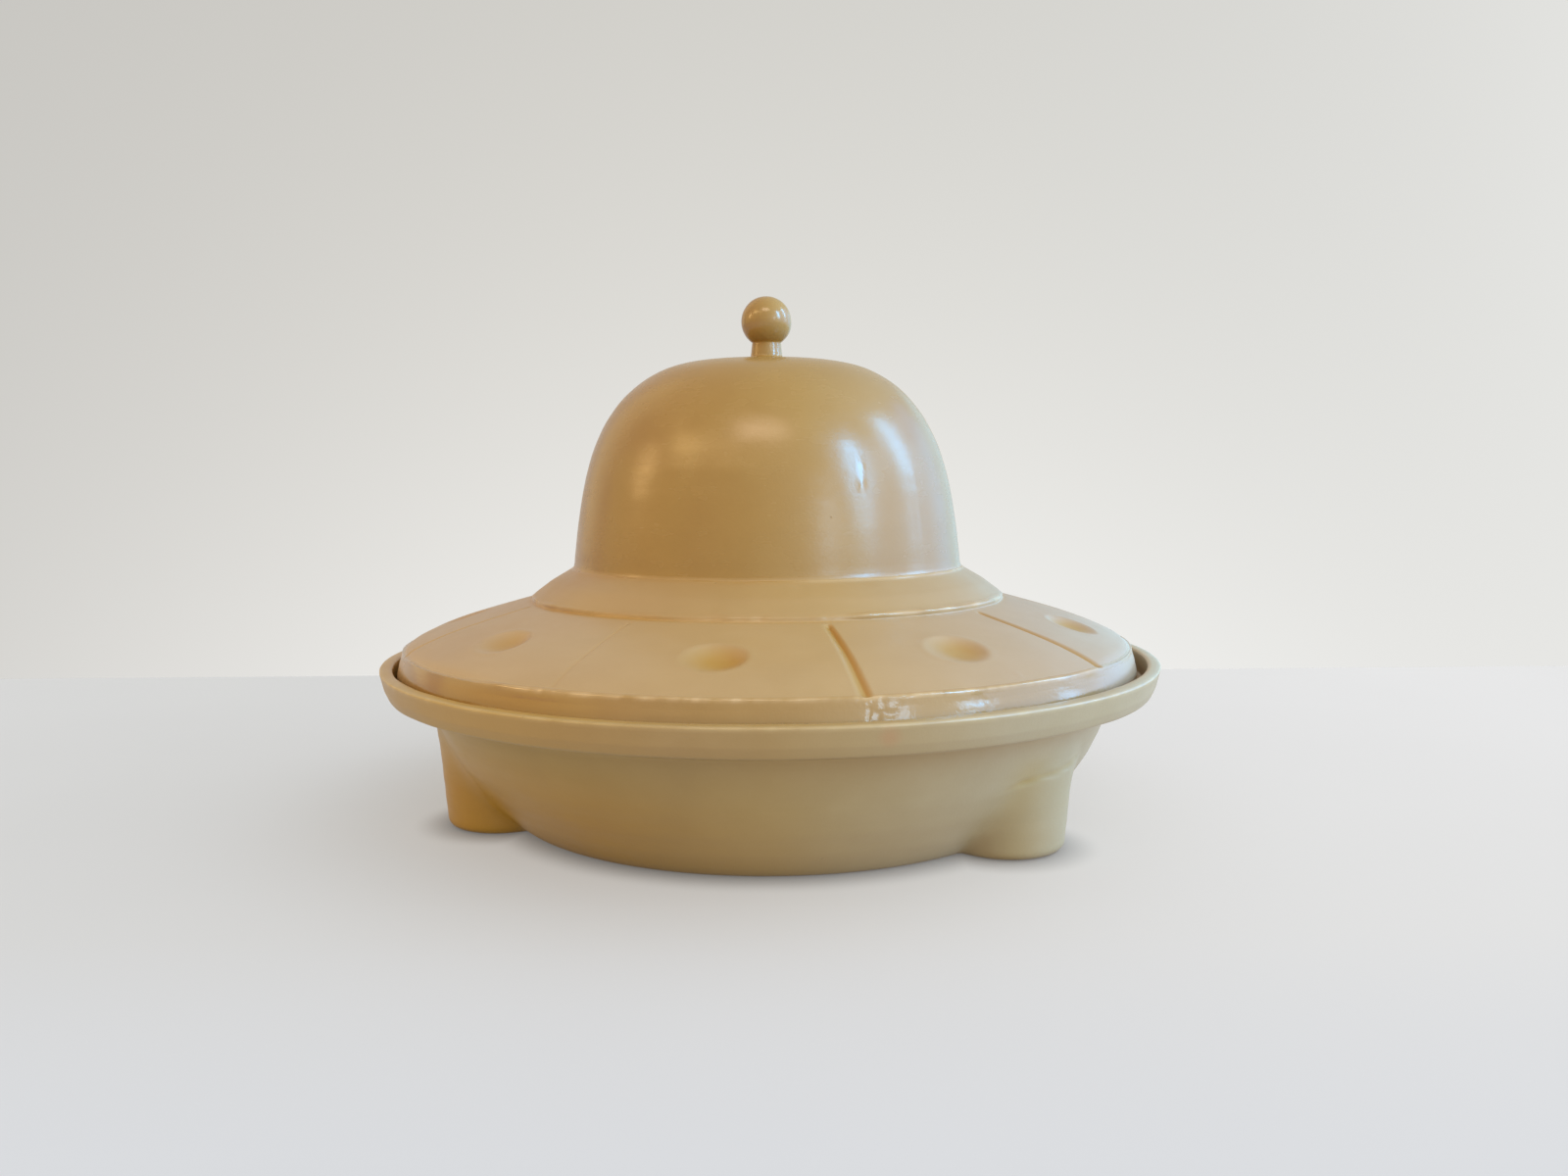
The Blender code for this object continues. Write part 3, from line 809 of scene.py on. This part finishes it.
def make_knob():
    count = 96
    azimuth = np.arange(count) * 360.0 / count - 180.0
    join = -math.acos(6.0 / BALL_RADIUS)
    ball = [
        (BALL_RADIUS * math.cos(g), BALL_HEIGHT + BALL_RADIUS * math.sin(g))
        for g in np.linspace(math.radians(84.0), join, 34)
    ]
    neck = rounded(
        [
            (*ball[-1], 0),
            (NECK_RADIUS - 0.3, ball[-1][1] - 0.5, 0.4),
            (NECK_RADIUS + 0.05, 189.6, 3.0),
            (NECK_RADIUS + 0.3, 187.6, 1.0),
            (7.6, KNOB_BASE + 0.3, 0.7),
            (7.3, KNOB_BASE, 0.3),
            (5.0, KNOB_BASE, 0),
        ],
        0.5,
    )[1:]
    profile = np.array(ball + list(map(tuple, neck)) + [(2.5, KNOB_BASE)])
    normal = normals_of(np.concatenate([[[0.0, BALL_HEIGHT + BALL_RADIUS]], profile]))[1:]
    base = place(azimuth, profile[:, :1], profile[:, 1:])
    z = profile[:, 1:]
    d = 0.10 * noise(base, 13.0, 71) + 0.05 * noise(base, 4.5, 72)
    d += 0.02 * noise(base, 1.6, 73)
    d = d * step(z, KNOB_BASE + 0.1, KNOB_BASE + 1.2) * (1.0 - step(z, 211.2, 212.2))
    turn = np.radians(azimuth)
    radial = np.stack([np.sin(turn), -np.cos(turn), 0 * turn], axis=-1)
    moved = (
        base
        + radial[None] * (normal[:, :1] * d)[..., None]
        + np.array([0.0, 0.0, 1.0]) * (normal[:, 1:] * d)[..., None]
    )
    moved[..., 0] += LID_SHIFT
    g = [np.full(count, 0.55) for _ in profile]
    # darker where the ball meets the neck and where the neck meets the dome
    h = [
        np.full(count, float(0.9 * bump(zz - (ball[-1][1] - 0.3), 0.9) + 0.5 * bump(zz - KNOB_BASE, 0.8)))
        for zz in profile[:, 1]
    ]
    return build(
        "knob_ball",
        list(moved),
        (LID_SHIFT, 0.0, BALL_HEIGHT + BALL_RADIUS),
        (LID_SHIFT, 0.0, KNOB_BASE),
        {"gloss": g, "pooled_glaze_and_shade": h},
    )


# --- materials ----------------------------------------------------------------


class Nodes:
    """Small helper that adds nodes and joins them."""

    def __init__(self, material):
        material.use_nodes = True
        self.tree = material.node_tree
        self.tree.nodes.clear()

    def add(self, kind, inputs=None, **settings):
        node = self.tree.nodes.new(kind)
        for key, value in settings.items():
            setattr(node, key, value)
        for key, value in (inputs or {}).items():
            socket = node.inputs[key]
            if isinstance(value, bpy.types.NodeSocket):
                self.tree.links.new(value, socket)
            else:
                socket.default_value = value
        return node

    def mix(self, factor, a, b, blend="MIX"):
        node = self.tree.nodes.new("ShaderNodeMix")
        node.data_type = "RGBA"
        node.blend_type = blend
        for key, value in ((0, factor), (6, a), (7, b)):
            if isinstance(value, bpy.types.NodeSocket):
                self.tree.links.new(value, node.inputs[key])
            else:
                node.inputs[key].default_value = value if key == 0 else (*value, 1.0)
        return node.outputs[2]

    def math(self, operation, a, b=None, c=None, clamp=False):
        node = self.tree.nodes.new("ShaderNodeMath")
        node.operation = operation
        node.use_clamp = clamp
        for i, value in enumerate((a, b, c)):
            if value is None:
                continue
            if isinstance(value, bpy.types.NodeSocket):
                self.tree.links.new(value, node.inputs[i])
            else:
                node.inputs[i].default_value = value
        return node.outputs[0]

    def noise(self, vector, scale, detail=2.0, roughness=0.5, distortion=0.0):
        node = self.add(
            "ShaderNodeTexNoise",
            {
                "Vector": vector,
                "Scale": scale,
                "Detail": detail,
                "Roughness": roughness,
                "Distortion": distortion,
            },
        )
        return node.outputs["Fac"]

    def rise(self, value, low, high, to_low=0.0, to_high=1.0):
        node = self.add(
            "ShaderNodeMapRange",
            {
                "Value": value,
                "From Min": low,
                "From Max": high,
                "To Min": to_low,
                "To Max": to_high,
            },
        )
        node.clamp = True
        return node.outputs[0]


def glaze(name, base, rough, glossy, seed, stain=None, dome=None, side_light_tint=None, low=None):
    """Honey-tan satin glaze over turned clay: softly mottled, warmer where it pools in
    hollows and where shade is painted in, with faint drag lines from the wheel, fine orange peel
    and a few specks. dome = (collar height, dome height, tint): above the heights it lies
    thicker and glossier, and takes the tint. side_light_tint is painted light: the tints for the
    light on its left and right sides. low is the tint of its lower left, painted shade and warm light."""
    deep = tuple(c * k for c, k in zip(base, (0.935, 0.925, 0.92)))
    pale = tuple(c * k for c, k in zip(base, (1.065, 1.105, 1.24)))
    material = bpy.data.materials.new(name)
    n = Nodes(material)
    where = n.add("ShaderNodeTexCoord").outputs["Object"]
    shifted = n.add(
        "ShaderNodeMapping", {"Vector": where, "Location": (seed * 0.37, seed * 0.11, seed * 0.23)}
    ).outputs[0]
    rings = n.add(
        "ShaderNodeMapping", {"Vector": shifted, "Scale": (1.0, 1.0, 7.0)}
    ).outputs[0]
    fine_rings = n.add(
        "ShaderNodeMapping", {"Vector": shifted, "Scale": (0.35, 0.35, 10.0)}
    ).outputs[0]
    gloss = n.add("ShaderNodeAttribute", attribute_name="gloss").outputs["Fac"]
    pooled_glaze_and_shade = n.add("ShaderNodeAttribute", attribute_name="pooled_glaze_and_shade").outputs["Fac"]

    clouds = n.noise(shifted, 17.0, 3.0, 0.55, 0.4)
    patches = n.noise(shifted, 60.0, 3.0, 0.6, 0.2)
    streaks = n.noise(rings, 40.0, 3.0, 0.55, 0.1)
    grain = n.noise(shifted, 1100.0, 2.0, 0.6)

    colour = n.mix(n.rise(clouds, 0.36, 0.68), base, deep)
    colour = n.mix(n.math("MULTIPLY", n.rise(patches, 0.42, 0.78), 0.40), colour, pale)
    colour = n.mix(n.math("MULTIPLY", n.rise(streaks, 0.50, 0.74), 0.22), colour, deep)
    colour = n.mix(n.math("MULTIPLY", n.rise(grain, 0.50, 0.80), 0.20), colour, pale)
    # pooled glaze and painted shade: darker and more saturated in hollows, creases and joints
    pooled_and_shaded = (base[0] * 0.95, base[1] * 0.81, base[2] * 0.42)
    colour = n.mix(n.math("MULTIPLY", pooled_glaze_and_shade, 0.95, clamp=True), colour, pooled_and_shaded)
    pits = n.add(
        "ShaderNodeTexVoronoi", {"Vector": shifted, "Scale": 130.0, "Randomness": 1.0}
    )
    few = n.noise(shifted, 45.0, 1.0)
    speck = n.math(
        "MULTIPLY", n.rise(pits.outputs["Distance"], 0.060, 0.030), n.rise(few, 0.62, 0.66)
    )
    colour = n.mix(n.math("MULTIPLY", speck, 0.35), colour, tuple(c * 0.5 for c in base))
    along, height = (n.add("ShaderNodeSeparateXYZ", {"Vector": where}).outputs[k] for k in (0, 2))
    satin = 1.0
    if dome:
        above = n.rise(height, dome[1], dome[1] + 0.0015)
        thick = n.math("MAXIMUM", above, n.rise(height, dome[0], dome[0] + 0.001, 0.0, 0.38))
        thick = n.math("MAXIMUM", thick, n.rise(gloss, 0.2, 0.9, 0.0, 0.62))
        colour = n.mix(thick, colour, dome[2], "MULTIPLY")
        satin = n.math("SUBTRACT", 1.0, above)
    # painted light: the left and right tints stand for the light falling on those sides
    if side_light_tint:
        left, right = n.rise(along, *side_light_tint[0]), n.rise(along, *side_light_tint[2])
        if dome:
            left, right = n.math("MULTIPLY", left, satin), n.math("MULTIPLY", right, satin)
            # painted light: the window's cool light on the dome's right side, over a narrower span
            painted_window_light = n.math("MULTIPLY", n.rise(along, 0.012, 0.060), above)
            colour = n.mix(painted_window_light, colour, (0.94, 1.00, 1.55), "MULTIPLY")
        else:
            # the glossy inside of the bowl keeps one even colour
            outer = n.math("MAXIMUM", n.rise(gloss, 0.30, 0.10), n.rise(height, 0.056, 0.061))
            left, right = n.math("MULTIPLY", left, outer), n.math("MULTIPLY", right, outer)
        colour = n.mix(left, colour, side_light_tint[1], "MULTIPLY")
        colour = n.mix(right, colour, side_light_tint[3], "MULTIPLY")
    if low:
        # the rim is darker, except on its right side
        rim = n.math("MULTIPLY", n.rise(height, 0.050, 0.054), n.math("SUBTRACT", 1.0, right))
        colour = n.mix(rim, colour, (0.92, 0.86, 0.82), "MULTIPLY")
        # painted shade and warm light: darker and warmer towards the table at the left
        near = n.math("MULTIPLY", n.rise(height, 0.050, 0.018), n.rise(along, 0.02, -0.06))
        near = n.math("MULTIPLY", near, n.rise(gloss, 0.30, 0.10))
        colour = n.mix(near, colour, low, "MULTIPLY")
    # paler thin glaze on the dish lip, and painted highlights on the edges and bead crests
    pale_edge_and_highlight_mask = n.add("ShaderNodeAttribute", attribute_name="pale_edge_and_highlight").outputs["Fac"]
    pale_edge_and_highlight_colour = (base[0] * 1.45, base[1] * 1.60, base[2] * 2.10)
    colour = n.mix(n.math("MULTIPLY", pale_edge_and_highlight_mask, 0.75, clamp=True), colour, pale_edge_and_highlight_colour)
    if stain:
        spot = n.add(
            "ShaderNodeVectorMath", {0: where, 1: stain}, operation="DISTANCE"
        ).outputs["Value"]
        wobble = n.math("MULTIPLY", patches, 0.004)
        colour = n.mix(
            n.math("MULTIPLY", n.rise(n.math("ADD", spot, wobble), 0.0062, 0.0030), 0.26),
            colour,
            (0.42, 0.15, 0.06),
        )

    roughness = n.rise(patches, 0.3, 0.72, rough - 0.03, rough + 0.04)
    if dome:
        roughness = n.math("SUBTRACT", roughness, n.math("MULTIPLY", above, 0.11))
    roughness = n.math("ADD", roughness, n.rise(streaks, 0.35, 0.7, -0.02, 0.02))
    slick = n.math("MAXIMUM", gloss, 0.0)
    roughness = n.math(
        "ADD",
        n.math("MULTIPLY", roughness, n.math("SUBTRACT", 1.0, slick)),
        n.math("MULTIPLY", slick, glossy),
    )
    dry = n.math("MAXIMUM", n.math("MULTIPLY", gloss, -1.0), 0.0)
    roughness = n.math("ADD", roughness, n.math("MULTIPLY", dry, 0.5), clamp=True)

    # heights in metres
    relief = n.math("MULTIPLY", grain, 0.000036)
    relief = n.math(
        "ADD", relief, n.math("MULTIPLY", n.noise(shifted, 420.0, 2.0, 0.6), 0.000018)
    )
    relief = n.math(
        "ADD", relief, n.math("MULTIPLY", n.noise(fine_rings, 60.0, 2.0, 0.5, 0.1), 0.000022)
    )
    if dome:
        relief = n.math("MULTIPLY", relief, n.math("MULTIPLY_ADD", satin, -0.55, 1.0))
        # the glossy band is pebbled, so its highlights break up
        pebbles = n.math("MULTIPLY", n.noise(shifted, 700.0, 2.0, 0.6), 0.000050)
        relief = n.math("ADD", relief, n.math("MULTIPLY", pebbles, slick))
    relief = n.math("SUBTRACT", relief, n.math("MULTIPLY", speck, 0.00008))
    peel = n.add("ShaderNodeBump", {"Strength": 1.0, "Distance": 1.0, "Height": relief})

    shader = n.add(
        "ShaderNodeBsdfPrincipled",
        {"Base Color": colour, "Roughness": roughness, "Normal": peel.outputs[0]},
    )
    shader.inputs["IOR"].default_value = 1.5
    shader.inputs["Specular IOR Level"].default_value = 0.5
    n.add("ShaderNodeOutputMaterial", {"Surface": shader.outputs[0]})
    return material


# --- assembly -----------------------------------------------------------------

dish = make_dish()
lid = make_lid()
knob = make_knob()

DISH_COLOUR = (0.374, 0.245, 0.091)
LID_COLOUR = (0.382, 0.231, 0.089)
DOME_TINT = (0.83, 0.745, 0.45)
KNOB_COLOUR = (0.325, 0.180, 0.045)
dish.data.materials.append(
    glaze(
        "dish_glaze",
        DISH_COLOUR,
        0.38,
        0.22,
        3.0,
        stain=(0.0360, -0.1560, 0.0590),
        side_light_tint=((-0.03, -0.12), (1.13, 1.10, 0.76), (0.0, 0.08), (0.98, 1.11, 1.66)),
        low=(0.88, 0.70, 0.22),
    )
)
lid.data.materials.append(
    glaze(
        "lid_glaze",
        LID_COLOUR,
        0.37,
        0.13,
        7.0,
        dome=(0.0885, 0.1002, DOME_TINT),
        side_light_tint=((-0.02, -0.11), (1.04, 1.09, 1.34), (0.02, 0.10), (0.97, 1.09, 1.68)),
    )
)
knob.data.materials.append(glaze("knob_glaze", KNOB_COLOUR, 0.22, 0.17, 11.0))

for piece, body, node, slot in (
    (dish, "dish", "dish", "dish_glaze"),
    (lid, "lid", "lid", "lid_glaze"),
    (knob, "lid", "lid_knob", "knob_glaze"),
):
    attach(piece, body)
    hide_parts(node)

# --- floor --------------------------------------------------------------------


FLOOR_COLOUR = (0.400, 0.410, 0.430)
FLOOR_GLOW = (0.325, 0.320, 0.305)
FLOOR_GLOW_RIGHT = (0.430, 0.425, 0.420)
FLOOR_GLOW_FRONT = (0.350, 0.365, 0.395)


def make_floor():
    """A wide table top. Its own faint glow keeps the shadows as light as in a studio
    tent, and far out it fades into the backdrop with no horizon."""
    radii = (0.0, 0.15, 0.3, 0.45, 0.7, 1.0, 1.6, 2.5, 4.0)
    verts, faces, count = [(0.0, 0.0, 0.0)], [], 64
    for radius in radii[1:]:
        for i in range(count):
            g = 2 * math.pi * i / count
            verts.append((radius * math.cos(g), radius * math.sin(g), 0.0))
    for i in range(count):
        faces.append((0, 1 + i, 1 + (i + 1) % count))
    for k in range(len(radii) - 2):
        a, b = 1 + k * count, 1 + (k + 1) * count
        for i in range(count):
            j = (i + 1) % count
            faces.append((a + i, b + i, b + j, a + j))
    mesh = bpy.data.meshes.new("table_top")
    mesh.from_pydata(verts, [], faces)
    mesh.update()
    obj = bpy.data.objects.new("table_top", mesh)
    obj.location = (0.0, 0.0, -0.0002)
    bpy.context.scene.collection.objects.link(obj)
    material = bpy.data.materials.new("table_paint")
    n = Nodes(material)
    where = n.add("ShaderNodeTexCoord").outputs["Object"]
    split = n.add("ShaderNodeSeparateXYZ", {"Vector": where})
    x, y = split.outputs[0], split.outputs[1]
    mottle = n.noise(where, 7.0, 2.0)
    near = n.mix(
        n.rise(mottle, 0.3, 0.7), FLOOR_COLOUR, tuple(c * 1.02 for c in FLOOR_COLOUR)
    )
    # brighter on the window's side, cooler towards the front
    glow = n.mix(n.rise(x, -0.30, 0.42), FLOOR_GLOW, FLOOR_GLOW_RIGHT)
    glow = n.mix(n.rise(y, -0.16, -0.34), glow, FLOOR_GLOW_FRONT)
    # the glow dies out under the dish, and the shadow is deepest where they touch
    gap = None
    for azimuth, middle, radius in [(0.0, 0.0, BASE_RADIUS)] + [
        (a, FOOT_CENTRE, FOOT_RADIUS - 2.0) for a in FOOT_AZIMUTHS
    ]:
        turn = math.radians(azimuth)
        centre = (math.sin(turn) * middle * MM, -math.cos(turn) * middle * MM, 0.0)
        reach = n.add("ShaderNodeVectorMath", {0: where, 1: centre}, operation="DISTANCE")
        reach = n.math("SUBTRACT", reach.outputs["Value"], radius * MM)
        gap = reach if gap is None else n.math("MINIMUM", gap, reach)
    open_sky = n.add(
        "ShaderNodeMapRange",
        {"Value": gap, "From Min": -0.001, "From Max": 0.017, "To Min": 0.32, "To Max": 1.0},
        interpolation_type="SMOOTHSTEP",
    ).outputs[0]
    glow = n.mix(open_sky, (0.0, 0.0, 0.0), glow)
    shader = n.add("ShaderNodeBsdfPrincipled", {"Base Color": near, "Roughness": 0.7})
    shader.inputs["Specular IOR Level"].default_value = 0.2
    n.tree.links.new(glow, shader.inputs["Emission Color"])
    shader.inputs["Emission Strength"].default_value = 1.0
    clear = n.add("ShaderNodeBsdfTransparent")
    out = n.add("ShaderNodeVectorMath", {0: where}, operation="LENGTH").outputs["Value"]
    far = n.rise(out, 1.2, 3.6)
    # the back edge of the table is a straight, slightly soft line
    behind = n.rise(n.math("SUBTRACT", y, n.math("MULTIPLY", x, 0.012)), 0.3255, 0.3275)
    gone = n.math("MAXIMUM", far, behind)
    mix = n.add(
        "ShaderNodeMixShader", {0: gone, 1: shader.outputs[0], 2: clear.outputs[0]}
    )
    n.add("ShaderNodeOutputMaterial", {"Surface": mix.outputs[0]})
    mesh.materials.append(material)
    return obj


make_floor()

# --- camera -------------------------------------------------------------------

FOCAL_PIXELS = 1250.0  # of an image 1600 pixels wide
DISTANCE, HEIGHT = 0.52039, 0.139414
PITCH, ROLL, YAW = 0.0945492609, -0.0045865533, 0.0107746465

forward = Vector(
    (
        math.sin(YAW) * math.cos(PITCH),
        math.cos(YAW) * math.cos(PITCH),
        -math.sin(PITCH),
    )
)
right = Vector((math.cos(YAW), -math.sin(YAW), 0.0))
upward = right.cross(forward)
side = math.cos(ROLL) * right + math.sin(ROLL) * upward
top = -math.sin(ROLL) * right + math.cos(ROLL) * upward
camera_data = bpy.data.cameras.new("camera")
camera_data.sensor_width = 36.0
camera_data.lens = FOCAL_PIXELS / 1600.0 * 36.0
camera_data.clip_start = 0.01
camera = bpy.data.objects.new("camera", camera_data)
camera.matrix_world = Matrix(
    (
        (side.x, top.x, -forward.x, 0.0),
        (side.y, top.y, -forward.y, -DISTANCE),
        (side.z, top.z, -forward.z, HEIGHT),
        (0.0, 0.0, 0.0, 1.0),
    )
)
bpy.context.scene.collection.objects.link(camera)
bpy.context.scene.camera = camera

# --- light --------------------------------------------------------------------


def towards(azimuth, elevation):
    a, e = math.radians(azimuth), math.radians(elevation)
    return Vector((math.sin(a) * math.cos(e), -math.cos(a) * math.cos(e), math.sin(e)))


def panel(name, azimuth, elevation, wide, tall, colour, distance=6.0):
    """A soft rectangular light that faces the object. Its size is given in degrees as
    the object sees it, and colour is its radiance."""
    data = bpy.data.lights.new(name, "AREA")
    data.shape = "RECTANGLE"
    data.size = 2 * distance * math.tan(math.radians(wide / 2))
    data.size_y = 2 * distance * math.tan(math.radians(tall / 2))
    peak = max(max(colour), 1e-6)
    data.energy = peak * math.pi * data.size * data.size_y
    data.color = tuple(c / peak for c in colour)
    obj = bpy.data.objects.new(name, data)
    middle = Vector((0.0, 0.0, 0.1))
    obj.location = middle + towards(azimuth, elevation) * distance
    obj.rotation_euler = (middle - obj.location).to_track_quat("-Z", "Y").to_euler()
    obj.visible_camera = False
    bpy.context.scene.collection.objects.link(obj)
    return obj


# name, azimuth, elevation, width, height, radiance
PANELS = (
    ("window_front", 60.0, 29.0, 10.0, 24.0, (3.4, 15.0, 28.0)),
    ("window_low", 61.0, 13.0, 9.0, 8.0, (3.0, 6.0, 9.0)),
    ("window_side", 100.5, 28.0, 9.0, 27.0, (2.5, 9.5, 17.0)),
    ("window_sill", 97.0, 7.0, 8.0, 7.0, (1.5, 4.0, 7.0)),
    ("window_far", 36.0, 13.0, 8.0, 12.0, (3.5, 5.5, 7.5)),
    ("cool_right", 98.0, 18.0, 75.0, 40.0, (0.0, 0.40, 1.4)),
    ("wall_right", 138.0, 8.0, 44.0, 26.0, (0.10, 0.55, 0.85)),
    ("wall_left", -131.0, 25.0, 24.0, 50.0, (0.5, 0.4, 0.15)),
    ("warm_left", -80.0, 12.0, 60.0, 26.0, (0.6, 0.5, 0.1)),
    ("lamp_ceiling", -5.0, 53.0, 26.0, 9.0, (8.8, 6.6, 4.9)),
    ("lamp_between", -38.0, 40.0, 26.0, 6.0, (3.4, 2.3, 1.2)),
    ("lamp_left", -84.0, 22.5, 8.0, 14.0, (9.6, 6.2, 2.7)),
    ("lamp_left_high", -60.0, 37.0, 18.0, 9.0, (6.8, 4.6, 1.9)),
)
# these small bright lights only put the gleams on the clay; the room lights the table
clay = bpy.data.collections.new("clay")
for piece in (dish, lid, knob):
    clay.objects.link(piece)
for row in PANELS:
    panel(*row).light_linking.receiver_collection = clay

# The room: an even glow, and broad soft lobes of light. azimuth, elevation, colour
EVEN = (0.525, 0.515, 0.490)
LOBES = (
    (180.0, 8.0, (0.076, 0.069, 0.052)),
    (180.0, -35.0, (0.557, 0.562, 0.580)),
    (150.0, 8.0, (0.020, 0.030, 0.035)),
    (45.0, 10.0, (1.600, 1.610, 1.620)),
    (95.0, 10.0, (1.240, 1.260, 1.280)),
    (90.0, 50.0, (0.490, 0.510, 0.530)),
)
LOBE_SHARPNESS = 6.0


def light_room(even, lobes):
    world = bpy.data.worlds.new("room")
    bpy.context.scene.world = world
    world.use_nodes = True
    tree = world.node_tree
    tree.nodes.clear()

    def op(kind, operation, *inputs):
        node = tree.nodes.new(kind)
        node.operation = operation
        for socket, value in zip(node.inputs, inputs):
            if isinstance(value, bpy.types.NodeSocket):
                tree.links.new(value, socket)
            elif value is not None:
                socket.default_value = value
        return node

    direction = tree.nodes.new("ShaderNodeTexCoord").outputs["Generated"]
    total = None
    for azimuth, elevation, colour in lobes:
        dot = op(
            "ShaderNodeVectorMath", "DOT_PRODUCT", direction, tuple(towards(azimuth, elevation))
        ).outputs["Value"]
        power = op(
            "ShaderNodeMath", "MULTIPLY_ADD", dot, LOBE_SHARPNESS, -LOBE_SHARPNESS
        ).outputs[0]
        share = op("ShaderNodeMath", "EXPONENT", power).outputs[0]
        tint = op("ShaderNodeVectorMath", "SCALE", colour)
        tree.links.new(share, tint.inputs["Scale"])
        before = even if total is None else total
        total = op("ShaderNodeVectorMath", "ADD", before, tint.outputs[0]).outputs[0]
    glow = tree.nodes.new("ShaderNodeBackground")
    tree.links.new(total, glow.inputs["Color"])
    end = tree.nodes.new("ShaderNodeOutputWorld")
    tree.links.new(glow.outputs[0], end.inputs["Surface"])


light_room(EVEN, LOBES)

bpy.context.scene.view_settings.view_transform = "Standard"

bpy.context.view_layer.update()
